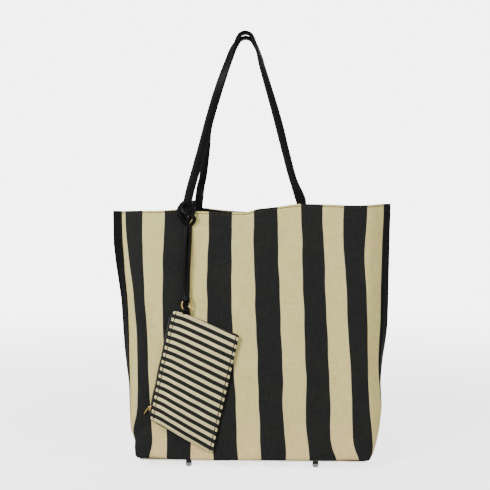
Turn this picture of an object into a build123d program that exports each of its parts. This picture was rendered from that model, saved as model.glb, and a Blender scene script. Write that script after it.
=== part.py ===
"""Striped canvas tote bag with two leather handles and a small zip pouch hung from one of them.

Frame: +X to the bag's right as seen from the front, the front faces -Y, +Z up.
The origin is the bottom centre of the whole object's bounding box, on the plane of the feet.
"""
from build123d import *
from math import atan2, cos, hypot, pi, radians, sin, sqrt
import os

# ---------------------------------------------------------------- the bag's own shell, mm
FLAT_WIDTH = 440.0          # one canvas panel laid flat, side seam to side seam
BASE_DEPTH = 102.0
BASE_LENGTH = FLAT_WIDTH - BASE_DEPTH
RIM_HALF_WIDTH = 206.0      # side seam to centre line, measured at the rim
BASE_Z = 10.0               # underside of the base canvas, which stands on the feet
RIM_Z = 375.0
CANVAS = 1.6
LINING = 0.8
LEATHER_TRIM = 1.2
TRIM_HALF = 16.0            # leather on each side of a side seam
HEM_HEIGHT = 38.0
GAP = 0.3                   # air between stacked layers
JOINT_GAP = 0.4             # air between a wall and what it moves past
SEAM_CLEAR = 0.15           # canvas stops this far short of the side seam
LINING_START = 3.0          # side lining begins this far from the corner fold
LINING_BELOW_RIM = 1.0
LINING_NARROWER = 1.5       # wall lining inside the wall canvas, each side

BASE_HALF_X = BASE_LENGTH / 2
BASE_HALF_Y = BASE_DEPTH / 2
GUSSET = BASE_HALF_Y        # flat distance from a corner fold to the side seam
MOUTH_HALF_Y = sqrt(GUSSET ** 2 - (RIM_HALF_WIDTH - BASE_HALF_X) ** 2)
PLANS = ((-BASE_HALF_X, -BASE_HALF_Y), (-RIM_HALF_WIDTH, -MOUTH_HALF_Y))

# ---------------------------------------------------------------- base and feet
BOARD = 2.2
BOARD_MARGIN = (10.0, 9.0)  # board smaller than the base by this much
BOARD_CORNER = 8.0
BASE_LINING_MARGIN = 8.0
BOARD_Z = BASE_Z + CANVAS + 0.2
BACKING = 0.8
BACKING_Z = BOARD_Z + BOARD + 0.1
BASE_LINING_Z = BACKING_Z + BACKING + GAP
WALL_LINING_Z = BASE_LINING_Z + LINING + JOINT_GAP
FOOT_X = 92.0
FOOT_Y = 37.0
FOOT_RADIUS = 4.5
FOOT_FLAT = 2.0
FOOT_DOME = 4.2             # height of the rounded part
FOOT_HEAD = 6.0
SHANK_RADIUS = 1.5
COLLAR_RADIUS = 4.1
BACKING_RADIUS = 7.0
BACKING_FIT = 0.05          # backing disc pressed on the shank
SHANK_FIT = 0.1             # hole larger than the shank, in radius

# ---------------------------------------------------------------- handles
STRAP_WIDTH = 13.0
STRAP = 4.0
ROOT_THICKNESS = 3.0        # the sewn end is skived thinner
ROOT_BOTTOM_Z = 339.0
FRONT_ROOTS_X = (-91.0, 73.0)
BACK_ROOTS_X = (-85.0, 77.0)
FRONT_BEND_Z = 392.0        # the front straps bend above the pouch's hitch
BACK_BEND_Z = 381.0
BEND_GAP = 3.6              # root's end below the bend line
STRAP_END = 1.4             # moving strap's end below the bend line
PEAK_X = -10.5
FRONT_PEAK_Z = 639.5        # strap's middle layer at the top of the arch
BACK_PEAK_Z = 636.5
ARCH_RADIUS = 13.0
ARCH_Y = 7.8                # the two arches lie side by side
ARCH_ANGLES = (165, 135, 112, 90, 68, 45, 15)
LEAN_TOP_Z = 598.0          # from here up the straps stay at the arch's depth
# How the legs hang: x of the strap's middle and its share of a quarter turn, at these heights.
LEG_HEIGHTS = (410, 430, 470, 500, 530, 560, 590, 606, 619)
FRONT_LEGS_X = ((-89, -83.5, -73, -65.5, -57.5, -48.5, -38.5, -33.5, -28.8),
                (63, 56.5, 46.5, 39, 31, 22.5, 14, 10.2, 6.4))
BACK_LEGS_X = ((-83, -79, -73, -69, -61, -51.5, -41, -34.5, -29),
               (66.5, 60, 49, 41.5, 33, 24, 15, 11, 6.5))
FRONT_LEGS_TURN = ((0, 0, 0, 0, 0, 0.15, 0.45, 0.6, 0.75), (0.35, 0.5, 0.55, 0.6, 0.68, 0.78, 0.85, 0.9, 0.95))
BACK_LEGS_TURN = ((0.35, 0.45, 0.4, 0.3, 0.2, 0.25, 0.45, 0.6, 0.75), (0.35, 0.5, 0.55, 0.6, 0.68, 0.78, 0.85, 0.9, 0.95))

# ---------------------------------------------------------------- pouch and its strap
HITCH_X = -92.0
HITCH_RADIUS = 11.5
HITCH_WIRE = 2.2
HITCH_Z = 383.5
HITCH_AHEAD = 2.3           # loop's centre in front of the strap's middle
STRAND_WIDTH = 6.0
STRAND = 2.2
STRAND_GAP = 0.5
KNOT_SIZE = (19.0, 7.0, 16.0)
KNOT_ROUND = 3.0
KNOT_BELOW_HITCH = 0.8
RING_X = -94.0
RING_Y = -46.0
RING_Z = 235.0
RING_RADIUS = 7.4
RING_WIRE = 1.1
EYE_BORE = 2.5
EYE_WALL = 1.5
EYE_WIDTH = 8.0
TAB_WIDTH = 13.0
TAB_LENGTH = 14.0
TAB_LEATHER = 1.2
TAB_X = -1.5                # tab's middle, from the ring's centre
TAB_NECK_X = -0.5
TAB_NECK = 1.6
POUCH_TOP = 101.0           # lengths of the four edges, as the soft pouch hangs from its corner
POUCH_LEFT = 159.0
POUCH_RIGHT = 168.0
TOP_SLOPE = 20.7            # degrees below level, going right
LEFT_LEAN = 11.8            # degrees from plumb, bottom to the left
RIGHT_LEAN = 13.2
POUCH_CORNER = (-19.0, -10.5)   # top left corner from the ring's centre, in the pouch's plane
POUCH_PANEL = 1.8
POUCH_LINING = 0.7
POUCH_SEAM = 3.0            # margin of panel beyond the lining
POUCH_ROUND = 4.0
PLY_GAP = 0.1
ZIP_TAPE_WIDTH = 5.0
ZIP_TAPE = 0.8
TEETH_WIDTH = 2.6
TEETH = 1.8
TEETH_PITCH = 3.0
TEETH_OUT = 3.4             # teeth's middle line, outside the pouch's edge
TEETH_CORE = 0.6            # core of the coil thinner than its teeth
ZIP_MARGIN = 7.0            # zip's ends from the pouch's corners
TAPE_BEYOND = 3.0           # tape longer than the teeth, each end
SLIDER_SIZE = (5.0, 9.0, 5.4)
SLIDER_ROUND = 1.2
SLIDER_FROM_END = 10.0
SLIDER_CENTRE = POUCH_LEFT - ZIP_MARGIN - SLIDER_FROM_END
CHANNEL_FIT = 0.3
CHEEK = 0.9
CHEEK_LENGTH = 3.2
CHEEK_PLACE = 1.35          # cheeks' middles either side of the pull
CHEEK_BEYOND = 1.4
BAIL_OUT = TEETH_OUT + SLIDER_SIZE[0] / 2 + 2.1
PIN_RADIUS = 0.6
PIN_LENGTH = 3.4
PULL_BORE = 0.75
PULL_HEAD = 1.6
PULL_TAIL = 1.9
PULL_THICK = 1.0
PULL_WINDOW = 0.9
PULL_LENGTH = 9.5
PULL_ANGLE = 39.0           # degrees from plumb, hanging down and to the left


def wall_y(z):
    """Outer face of the front wall at height z."""
    share = (z - BASE_Z) / (RIM_Z - BASE_Z)
    return -BASE_HALF_Y + (BASE_HALF_Y - MOUTH_HALF_Y) * share


def prism(points, direction):
    return Solid.extrude(Face(Wire.make_polygon(points)), Vector(*direction))


def plan_loft(bottom, top, z_low=BASE_Z, z_high=RIM_Z):
    """Ruled solid between a plan outline at the base and one at the rim."""
    rings = [
        Wire.make_polygon([(x, y, z_low) for x, y in bottom]),
        Wire.make_polygon([(x, y, z_high) for x, y in top]),
    ]
    return Solid.make_loft(rings, ruled=True)


def wall_layer(half_x, z_low, z_high, inner, outer):
    """Flat layer of the front wall, between two depths behind its outer face."""
    outline = [
        (-half_x, wall_y(z_low) + outer, z_low),
        (-half_x, wall_y(z_high) + outer, z_high),
        (-half_x, wall_y(z_high) + inner, z_high),
        (-half_x, wall_y(z_low) + inner, z_low),
    ]
    return prism(outline, (2 * half_x, 0, 0))


def fuse_all(shapes):
    whole = shapes[0]
    for shape in shapes[1:]:
        whole = whole + shape
    return whole.solid()


def back(shape):
    return mirror(shape, about=Plane.XZ)


def right(shape):
    return mirror(shape, about=Plane.YZ)


# ---------------------------------------------------------------- gussets and their trim
def gusset_frame(seam_x, fold_y):
    """Left front gusset in plan: fold corner, unit vector to the seam, unit vector inwards."""
    fold = (-BASE_HALF_X, fold_y)
    length = hypot(seam_x - fold[0], fold_y)
    along = ((seam_x - fold[0]) / length, -fold_y / length)
    inward = (along[1], -along[0])
    return fold, along, inward


def gusset_line(seam_x, fold_y, depth, start, stop_y):
    """Two plan points of a line parallel to the gusset: from start along it to the depth stop_y."""
    fold, along, inward = gusset_frame(seam_x, fold_y)
    x0 = fold[0] + depth * inward[0]
    y0 = fold[1] + depth * inward[1]
    reach = (stop_y - y0) / along[1]
    first = (x0 + start * along[0], y0 + start * along[1])
    last = (x0 + reach * along[0], y0 + reach * along[1])
    return first, last


def gusset_canvas():
    """Left front half gusset, ending just short of the side seam."""
    rings = []
    for seam_x, fold_y in PLANS:
        outer = gusset_line(seam_x, fold_y, 0, 0, -SEAM_CLEAR)
        inner = gusset_line(seam_x, fold_y, CANVAS, 0, -SEAM_CLEAR)
        rings.append([outer[0], outer[1], inner[1], inner[0]])
    return plan_loft(*rings)


def folded_strip(shallow, deep, start, z_low, z_high):
    """Left strip that runs along both half gussets and bends at the side seam."""
    rings = []
    for seam_x, fold_y in PLANS:
        outer = gusset_line(seam_x, fold_y, shallow, start, 0)
        inner = gusset_line(seam_x, fold_y, deep, start, 0)
        far_side = [(inner[0][0], -inner[0][1]), (outer[0][0], -outer[0][1])]
        rings.append([outer[0], inner[0], inner[1], *far_side, outer[1]])
    strip = plan_loft(*rings)
    keep = Pos(0, 0, (z_low + z_high) / 2) * Box(4 * BASE_LENGTH, 4 * BASE_DEPTH, z_high - z_low)
    return strip & keep


def side_trim():
    return folded_strip(-GAP / 2, -GAP / 2 - LEATHER_TRIM, GUSSET - TRIM_HALF, BASE_Z, RIM_Z)


def gusset_lining():
    depth = CANVAS + GAP
    return folded_strip(depth, depth + LINING, LINING_START, WALL_LINING_Z, RIM_Z - LINING_BELOW_RIM)


# ---------------------------------------------------------------- base and feet
def with_shank_holes(plate, radius):
    for x in (-FOOT_X, FOOT_X):
        for y in (-FOOT_Y, FOOT_Y):
            plate -= Pos(x, y, BASE_Z) * Cylinder(radius, RIM_Z)
    return plate


def base_canvas():
    inset = CANVAS + JOINT_GAP
    plate = Box(BASE_LENGTH - 2 * inset, BASE_DEPTH - 2 * inset, CANVAS)
    return with_shank_holes(Pos(0, 0, BASE_Z + CANVAS / 2) * plate, SHANK_RADIUS + SHANK_FIT)


def base_board():
    plate = Box(BASE_LENGTH - BOARD_MARGIN[0], BASE_DEPTH - BOARD_MARGIN[1], BOARD)
    plate = fillet(plate.edges().filter_by(Axis.Z), BOARD_CORNER)
    return with_shank_holes(Pos(0, 0, BOARD_Z + BOARD / 2) * plate, SHANK_RADIUS + SHANK_FIT)


def base_lining():
    plate = Box(BASE_LENGTH - BASE_LINING_MARGIN, BASE_DEPTH - BASE_LINING_MARGIN, LINING)
    return Pos(0, 0, BASE_LINING_Z + LINING / 2) * plate


def foot(x, y):
    """Domed stud with a small flat to stand on, and the shank that holds it through the board."""
    bulge = (FOOT_RADIUS - FOOT_FLAT) * sin(radians(45))
    shoulder = FOOT_DOME * (1 - sin(radians(45)))
    dome = ThreePointArc((FOOT_FLAT, 0), (FOOT_FLAT + bulge, shoulder), (FOOT_RADIUS, FOOT_DOME))
    stem = Polyline(
        (FOOT_RADIUS, FOOT_DOME), (FOOT_RADIUS, FOOT_HEAD), (SHANK_RADIUS, FOOT_HEAD),
        (SHANK_RADIUS, BACKING_Z + BACKING), (0, BACKING_Z + BACKING), (0, 0), (FOOT_FLAT, 0),
    )
    section = Plane.XZ * make_face(dome + stem)
    return Pos(x, y, 0) * revolve(section, Axis.Z)


def foot_collar(x, y):
    height = BASE_Z - FOOT_HEAD - 2 * SHANK_FIT
    ring = Cylinder(COLLAR_RADIUS, height) - Cylinder(SHANK_RADIUS + SHANK_FIT, height)
    return Pos(x, y, FOOT_HEAD + SHANK_FIT + height / 2) * ring


def foot_backing(x, y):
    ring = Cylinder(BACKING_RADIUS, BACKING) - Cylinder(SHANK_RADIUS + BACKING_FIT, BACKING)
    return Pos(x, y, BACKING_Z + BACKING / 2) * ring


# ---------------------------------------------------------------- handles
def strap_y(bend_z, z):
    """Middle of the front strap in y: it leaves the hem upright and leans in towards the arch."""
    root = wall_y(RIM_Z) + CANVAS + LEATHER_TRIM + 2 * GAP + STRAP / 2
    share = min(1, max(0, (z - bend_z) / (LEAN_TOP_Z - bend_z)))
    return root + (-ARCH_Y - root) * share


def strap_root(x, bend_z):
    """Sewn end of a strap: thin inside the hem, full thickness from the rim to the bend."""
    face = CANVAS + LEATHER_TRIM + 2 * GAP
    sewn = wall_layer(STRAP_WIDTH / 2, ROOT_BOTTOM_Z, RIM_Z + 0.5, face, face + ROOT_THICKNESS)
    top = bend_z - BEND_GAP
    low = RIM_Z + 0.5
    stub = Pos(0, strap_y(bend_z, 0), (low + top) / 2) * Box(STRAP_WIDTH, STRAP, top - low)
    return Pos(x, 0, 0) * fuse_all([sewn, stub])


def handle_stations(roots, bend_z, peak_z, legs, turns):
    """Points (x, z, turn) along a handle, up from the left root, over the arch and down to the right root."""
    sides = []
    for root, xs, shares in zip(roots, legs, turns):
        sides.append([(root, bend_z - STRAP_END, 0)] + list(zip(xs, LEG_HEIGHTS, shares)))
    arch = []
    for angle in ARCH_ANGLES:
        a = radians(angle)
        arch.append((PEAK_X + ARCH_RADIUS * cos(a), peak_z - ARCH_RADIUS + ARCH_RADIUS * sin(a), 1))
    return sides[0] + arch + sides[1][::-1]


def handle(roots, bend_z, peak_z, legs, turns):
    """Flat strap in one piece; each leg turns a quarter so that the arch lies flat on a peg."""
    stations = handle_stations(roots, bend_z, peak_z, legs, turns)
    points = [Vector(x, strap_y(bend_z, z), z) for x, z, _ in stations]
    wires = []
    for i, (x, z, share) in enumerate(stations):
        before = points[max(0, i - 1)]
        after = points[min(len(points) - 1, i + 1)]
        tangent = (after - before).normalized()
        if i in (0, len(points) - 1):
            tangent = Vector(0, 0, 1 if i == 0 else -1)
        sideways = tangent.cross(Vector(0, 1, 0)).normalized()
        forward = sideways.cross(tangent).normalized()
        turn = radians(90 * share)
        wide = sideways * cos(turn) + forward * sin(turn)
        thin = tangent.cross(wide).normalized()
        corners = []
        for a, b in ((1, 1), (-1, 1), (-1, -1), (1, -1)):
            corners.append(points[i] + wide * (a * STRAP_WIDTH / 2) + thin * (b * STRAP / 2))
        wires.append(Wire.make_polygon(corners))
    return Solid.make_loft(wires, ruled=True)


# ---------------------------------------------------------------- hitch, strap and ring
def hitch_centre():
    return strap_y(FRONT_BEND_Z, 0) - HITCH_AHEAD


def hitch_loop(root):
    """Leather cord round the root of the left front strap, low in front and high behind."""
    tilt = Plane(origin=(HITCH_X, hitch_centre(), HITCH_Z), x_dir=(1, 0, 0), z_dir=(0, 1, -1))
    return tilt.location * Torus(HITCH_RADIUS, HITCH_WIRE) - root


def hitch_bar():
    """Lowest point of the hitch in front, which the pouch's strap swings about."""
    drop = HITCH_RADIUS * sin(radians(45))
    return hitch_centre() - drop, HITCH_Z - drop


def knot_and_strands():
    """Knot just under the hitch, and the two strands that run down to the ring."""
    bar_y, bar_z = hitch_bar()
    width, depth, height = KNOT_SIZE
    top = bar_z - HITCH_WIRE - KNOT_BELOW_HITCH
    knot = fillet(Box(width, depth, height).edges(), KNOT_ROUND)
    knot = Pos(HITCH_X, bar_y, top - height / 2) * knot
    low = Vector(RING_X, RING_Y, RING_Z + RING_RADIUS)
    high = Vector(HITCH_X, bar_y, top - height)
    pieces = []
    for side in (-1, 1):
        offset = side * (STRAND_WIDTH + STRAND_GAP) / 2
        bottom_z = low.Z + EYE_BORE + EYE_WALL - 0.5
        rings = []
        for centre, z in ((low, bottom_z), (high, high.Z + 1)):
            x0 = centre.X + offset - STRAND_WIDTH / 2
            x1 = x0 + STRAND_WIDTH
            y0 = centre.Y - STRAND / 2
            y1 = y0 + STRAND
            rings.append(Wire.make_polygon([(x0, y0, z), (x1, y0, z), (x1, y1, z), (x0, y1, z)]))
        pieces.append(Solid.make_loft(rings, ruled=True))
    eye = Cylinder(EYE_BORE + EYE_WALL, 2 * EYE_WIDTH) - Cylinder(EYE_BORE, 2 * EYE_WIDTH)
    eye = eye & Box(4 * EYE_WIDTH, 4 * EYE_WIDTH, EYE_WIDTH)
    pieces.append(Pos(*low) * Rot(0, 90, 0) * eye)
    return fuse_all([knot, *pieces])


# ---------------------------------------------------------------- pouch, drawn flat then hung
def pouch_plane():
    """Plane of the pouch: its origin is the ring's centre, and it leans like the bag's wall."""
    lean = atan2(BASE_HALF_Y - MOUTH_HALF_Y, RIM_Z - BASE_Z)
    return Plane(origin=(RING_X, RING_Y, RING_Z), x_dir=(1, 0, 0), z_dir=(0, -cos(lean), sin(lean)))


def hang(shape):
    return pouch_plane().location * shape


def ring():
    return hang(Torus(RING_RADIUS, RING_WIRE))


def along(degrees_from_x):
    return Vector(cos(radians(degrees_from_x)), sin(radians(degrees_from_x)))


LEFT_DOWN = along(-90 - LEFT_LEAN)
LEFT_OUT = along(180 - LEFT_LEAN)


def pouch_corners():
    top_left = Vector(*POUCH_CORNER)
    top_right = top_left + along(-TOP_SLOPE) * POUCH_TOP
    bottom_left = top_left + LEFT_DOWN * POUCH_LEFT
    bottom_right = top_right + along(-90 - RIGHT_LEAN) * POUCH_RIGHT
    return [top_left, top_right, bottom_right, bottom_left]


def pouch_outline(inset):
    """The pouch's outline with every corner drawn in towards the middle."""
    corners = pouch_corners()
    middle = (corners[0] + corners[1] + corners[2] + corners[3]) / 4
    drawn = [corner + (middle - corner).normalized() * inset * sqrt(2) for corner in corners]
    return make_face(Polyline(*[(p.X, p.Y) for p in drawn], close=True))


def pouch_panel(side):
    """Front or back canvas panel, folded in round the lining at its edges."""
    low = POUCH_LINING + ZIP_TAPE / 2 + PLY_GAP
    plate = extrude(pouch_outline(0), POUCH_PANEL)
    plate = fillet(plate.edges().filter_by(Axis.Z), POUCH_ROUND)
    plate = Pos(0, 0, low) * plate
    return hang(plate if side > 0 else mirror(plate, about=Plane.XY))


def pouch_lining():
    """Two plies of thin cotton between the canvas panels."""
    ply = extrude(pouch_outline(POUCH_SEAM), POUCH_LINING)
    upper = Pos(0, 0, ZIP_TAPE / 2 + PLY_GAP / 2) * ply
    return hang(Compound([upper, mirror(upper, about=Plane.XY)]))


def zip_line(distance_down, distance_out=0.0):
    return Vector(*POUCH_CORNER) + LEFT_DOWN * distance_down + LEFT_OUT * distance_out


def beside_edge(start, stop, inner, outer, thickness):
    """Bar along the pouch's left edge, between two distances outside that edge."""
    corners = [
        zip_line(start, inner), zip_line(start, outer), zip_line(stop, outer), zip_line(stop, inner)
    ]
    face = make_face(Polyline(*[(p.X, p.Y) for p in corners], close=True))
    return extrude(face, thickness / 2, both=True)


def zip_tape():
    start = ZIP_MARGIN - TAPE_BEYOND
    stop = POUCH_LEFT - ZIP_MARGIN + TAPE_BEYOND
    outer = TEETH_OUT - TEETH_WIDTH / 2 - PLY_GAP
    return hang(beside_edge(start, stop, outer - ZIP_TAPE_WIDTH, outer, ZIP_TAPE))


def zip_teeth():
    """Coil of the closed zip as one toothed bar."""
    inner = TEETH_OUT - TEETH_WIDTH / 2
    outer = TEETH_OUT + TEETH_WIDTH / 2
    stop = POUCH_LEFT - ZIP_MARGIN
    pieces = [beside_edge(ZIP_MARGIN, stop, inner, outer - TEETH_CORE, TEETH - TEETH_CORE)]
    count = int((POUCH_LEFT - 2 * ZIP_MARGIN) / TEETH_PITCH)
    for i in range(count):
        start = ZIP_MARGIN + TEETH_PITCH / 3 + i * TEETH_PITCH
        pieces.append(beside_edge(start, start + TEETH_PITCH / 2, inner + CHANNEL_FIT, outer, TEETH))
    return hang(fuse_all(pieces))


def slider():
    """Zip slider: a body that the teeth run through, and two cheeks with a pin for the pull."""
    width, length, depth = SLIDER_SIZE
    low = SLIDER_CENTRE - length / 2
    high = SLIDER_CENTRE + length / 2
    body = beside_edge(low, high, TEETH_OUT - width / 2, TEETH_OUT + width / 2, depth)
    body = fillet(body.edges().filter_by(Axis.Z), SLIDER_ROUND)
    room = TEETH_WIDTH / 2 + CHANNEL_FIT
    channel = beside_edge(low - 1, high + 1, TEETH_OUT - room, TEETH_OUT + room, TEETH + 2 * CHANNEL_FIT)
    slot = beside_edge(low - 1, high + 1, TEETH_OUT - 2 * width, TEETH_OUT, ZIP_TAPE + 2 * CHANNEL_FIT)
    body = body - channel - slot
    edge = TEETH_OUT + width / 2 - 0.4
    for side in (-1, 1):
        cheek = beside_edge(SLIDER_CENTRE - CHEEK_LENGTH / 2, SLIDER_CENTRE + CHEEK_LENGTH / 2, edge,
                            BAIL_OUT + CHEEK_BEYOND, CHEEK)
        body = body + Pos(0, 0, side * CHEEK_PLACE) * cheek
    pivot = zip_line(SLIDER_CENTRE, BAIL_OUT)
    pin = Pos(pivot.X, pivot.Y, 0) * Cylinder(PIN_RADIUS, PIN_LENGTH)
    return hang((body + pin).solid())


def zip_pull():
    """Flat teardrop pull, hung on the slider's pin."""
    pivot = zip_line(SLIDER_CENTRE, BAIL_OUT)
    tip = along(-90 - PULL_ANGLE) * PULL_LENGTH
    head = Circle(PULL_HEAD)
    tail = Pos(tip.X, tip.Y, 0) * Circle(PULL_TAIL)
    blade = extrude(make_hull(head.edges() + tail.edges()), PULL_THICK / 2, both=True)
    blade = blade - Cylinder(PULL_BORE, 3 * PULL_THICK)
    window = Pos(tip.X * 0.85, tip.Y * 0.85, 0) * Cylinder(PULL_WINDOW, 3 * PULL_THICK)
    return hang(Pos(pivot.X, pivot.Y, 0) * (blade - window).solid())


def pouch_tab():
    """Leather tab round the ring's lowest point, sewn over the pouch's top edge."""
    eye = Cylinder(EYE_BORE + EYE_WALL, EYE_WIDTH) - Cylinder(EYE_BORE, EYE_WIDTH)
    eye = Pos(0, -RING_RADIUS, 0) * Rot(0, 90, 0) * eye
    low = -RING_RADIUS - EYE_BORE - 0.4
    inside = ZIP_TAPE / 2 + POUCH_LINING + POUCH_PANEL + 2 * PLY_GAP
    leaf = Pos(TAB_X, low - TAB_LENGTH / 2, 0) * Box(TAB_WIDTH, TAB_LENGTH, TAB_LEATHER)
    leaves = [Pos(0, 0, side * (inside + TAB_LEATHER / 2)) * leaf for side in (-1, 1)]
    neck = Pos(TAB_NECK_X, low - TAB_NECK / 2, 0) * Box(EYE_WIDTH, TAB_NECK, 2 * (inside + TAB_LEATHER))
    return hang(fuse_all([eye, neck, *leaves]))


# ---------------------------------------------------------------- every node
def four_feet(make):
    return [make(x, y) for y in (-FOOT_Y, FOOT_Y) for x in (-FOOT_X, FOOT_X)]


def build():
    left_trim = side_trim()
    left_gusset_lining = gusset_lining()
    front_gusset_left = gusset_canvas()
    front_roots = [strap_root(x, FRONT_BEND_Z) for x in FRONT_ROOTS_X]
    back_roots = [back(strap_root(x, BACK_BEND_Z)) for x in BACK_ROOTS_X]
    canvas_half = BASE_HALF_X - CANVAS - JOINT_GAP
    lining_half = canvas_half - LINING_NARROWER
    front_canvas = wall_layer(canvas_half, BASE_Z, RIM_Z, 0, CANVAS)
    face = CANVAS + GAP
    front_lining = wall_layer(lining_half, WALL_LINING_Z, RIM_Z - HEM_HEIGHT - 0.5, face, face + LINING)
    front_hem = wall_layer(lining_half, RIM_Z - HEM_HEIGHT, RIM_Z, face, CANVAS + GAP + LEATHER_TRIM)
    nodes = {
        "base_canvas": base_canvas(),
        "base_board": base_board(),
        "base_lining": base_lining(),
        "foot_collars": Compound(four_feet(foot_collar)),
        "foot_backings": Compound(four_feet(foot_backing)),
        "front_gusset_left": front_gusset_left,
        "front_gusset_right": right(front_gusset_left),
        "back_gusset_left": back(front_gusset_left),
        "back_gusset_right": back(right(front_gusset_left)),
        "side_trim_left": left_trim,
        "side_trim_right": right(left_trim),
        "gusset_lining_left": left_gusset_lining,
        "gusset_lining_right": right(left_gusset_lining),
        "front_canvas": front_canvas,
        "front_lining": front_lining,
        "front_hem_facing": front_hem,
        "front_strap_roots": Compound(front_roots),
        "back_canvas": back(front_canvas),
        "back_lining": back(front_lining),
        "back_hem_facing": back(front_hem),
        "back_strap_roots": Compound(back_roots),
        "front_handle": handle(FRONT_ROOTS_X, FRONT_BEND_Z, FRONT_PEAK_Z, FRONT_LEGS_X, FRONT_LEGS_TURN),
        "back_handle": back(handle(BACK_ROOTS_X, BACK_BEND_Z, BACK_PEAK_Z, BACK_LEGS_X, BACK_LEGS_TURN)),
        "hitch_loop": hitch_loop(front_roots[0]),
        "pouch_strap": knot_and_strands(),
        "pouch_ring": ring(),
        "pouch_tab": pouch_tab(),
        "pouch_front": pouch_panel(1),
        "pouch_back": pouch_panel(-1),
        "pouch_lining": pouch_lining(),
        "zip_tape": zip_tape(),
        "zip_teeth": zip_teeth(),
        "zip_slider": slider(),
        "zip_pull": zip_pull(),
    }
    names = ("foot_front_left", "foot_front_right", "foot_back_left", "foot_back_right")
    for name, shape in zip(names, four_feet(foot)):
        nodes[name] = shape
    return nodes


def main():
    nodes = build()
    box = Compound(list(nodes.values())).bounding_box()
    middle = box.center()
    shift = Pos(-middle.X, -middle.Y, -box.min.Z)
    os.makedirs("parts", exist_ok=True)
    for name, shape in nodes.items():
        export_step(shift * shape, f"parts/{name}.step")
    bar_y, bar_z = hitch_bar()
    pivots = {
        "wall hinge": (0, -BASE_HALF_Y, BASE_Z),
        "front strap bend": (0, strap_y(FRONT_BEND_Z, 0), FRONT_BEND_Z),
        "back strap bend": (0, -strap_y(BACK_BEND_Z, 0), BACK_BEND_Z),
        "pouch strap": (HITCH_X, bar_y, bar_z),
        "ring": (RING_X, RING_Y, RING_Z),
    }
    plane = pouch_plane()
    pivots["ring bottom"] = plane.from_local_coords((0, -RING_RADIUS, 0))
    pull = zip_line(SLIDER_CENTRE, BAIL_OUT)
    pivots["pull pin"] = plane.from_local_coords((pull.X, pull.Y, 0))
    for name, point in pivots.items():
        place = Vector(*point) + Vector(-middle.X, -middle.Y, -box.min.Z)
        print(name, [round(v / 1000, 5) for v in place])
    up = plane.from_local_coords((-LEFT_DOWN.X, -LEFT_DOWN.Y, 0)) - plane.origin
    print("zip direction", [round(v, 5) for v in up])
    print("pouch normal", [round(v, 5) for v in plane.z_dir])
    print("shift", round(-middle.X, 3), round(-middle.Y, 3), "size", box.size)


main()
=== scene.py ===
"""Striped canvas tote bag with leather handles and a zip pouch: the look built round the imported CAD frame.

Lengths are metres. Every surface is laid out in flat cloth lengths first (u across, v up), so stripes,
weave and stitches keep their real size however the cloth is bent.
"""
import math
import random

import bpy
import numpy as np
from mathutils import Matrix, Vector


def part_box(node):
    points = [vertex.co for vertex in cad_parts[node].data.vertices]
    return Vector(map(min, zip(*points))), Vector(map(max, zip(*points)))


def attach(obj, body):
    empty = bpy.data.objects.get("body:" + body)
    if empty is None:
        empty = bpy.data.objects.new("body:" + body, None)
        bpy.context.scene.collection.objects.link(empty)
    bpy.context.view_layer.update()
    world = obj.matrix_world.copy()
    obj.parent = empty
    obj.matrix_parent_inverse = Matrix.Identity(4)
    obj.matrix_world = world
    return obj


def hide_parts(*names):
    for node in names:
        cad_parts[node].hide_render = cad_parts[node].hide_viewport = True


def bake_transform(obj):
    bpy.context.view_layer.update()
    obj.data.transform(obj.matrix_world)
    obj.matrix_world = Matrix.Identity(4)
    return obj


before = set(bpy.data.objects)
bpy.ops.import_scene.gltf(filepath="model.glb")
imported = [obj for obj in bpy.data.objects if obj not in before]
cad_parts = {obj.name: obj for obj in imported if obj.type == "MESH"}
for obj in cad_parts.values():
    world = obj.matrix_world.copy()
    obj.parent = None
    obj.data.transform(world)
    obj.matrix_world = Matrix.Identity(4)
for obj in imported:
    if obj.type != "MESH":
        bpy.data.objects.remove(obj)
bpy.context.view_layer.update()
random.seed(7)

# ---------- sizes shared with the CAD part
board_low, board_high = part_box("base_board")
MID_Y = (board_low.y + board_high.y) / 2  # the bag's own centre plane in the row frame
BASE_X = 0.169
BASE_Y = 0.051
BASE_Z = 0.010
RIM_Z = 0.375
MOUTH_Y = 0.0351
PANEL = 0.440  # one panel, side seam to side seam
LOOP = 2 * PANEL
RUN = RIM_Z - BASE_Z  # flat height of a panel
CANVAS = 0.0016
LEATHER = 0.0012
TRIM = 0.016
TRIM_STITCH = 0.0026
HEM = 0.038
EDGE_TURN = 0.005  # radius of the cloth's turn under the base
MM = 0.001
POUCH_SEAM = 0.041  # pouch's stitched lines, in from each side by share of its width
POUCH_WIDTH = 0.101
POUCH_LENGTH = 0.1655
STRIPES = (0.0658, 0.0341, 0.0252)  # the canvas's stripes: period, black band, where the first one starts
WALLS = (("front", 0.0), ("back", PANEL))  # each wall, and where its panel starts round the shell


# ---------- small helpers
def ease(x, knots):
    """Smooth curve through (x, value) knots, for listed profiles."""
    xs = np.array([k[0] for k in knots])
    ys = np.array([k[1] for k in knots])
    reach = 0.35 * np.min(np.diff(xs))
    total = 0
    for k in (-1, -0.5, 0, 0.5, 1):
        total = total + np.interp(np.asarray(x, float) + k * reach, xs, ys)
    return total / 5


def step(x, low, high):
    t = np.clip((np.asarray(x, float) - low) / (high - low), 0, 1)
    return t * t * (3 - 2 * t)


def unit(vectors):
    return vectors / (np.linalg.norm(vectors, axis=-1, keepdims=True) + 1e-12)


def travelled(points):
    """Length along a line of points, up to each of them."""
    return np.concatenate([[0], np.cumsum(np.linalg.norm(np.diff(points, axis=0), axis=1))])


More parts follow.
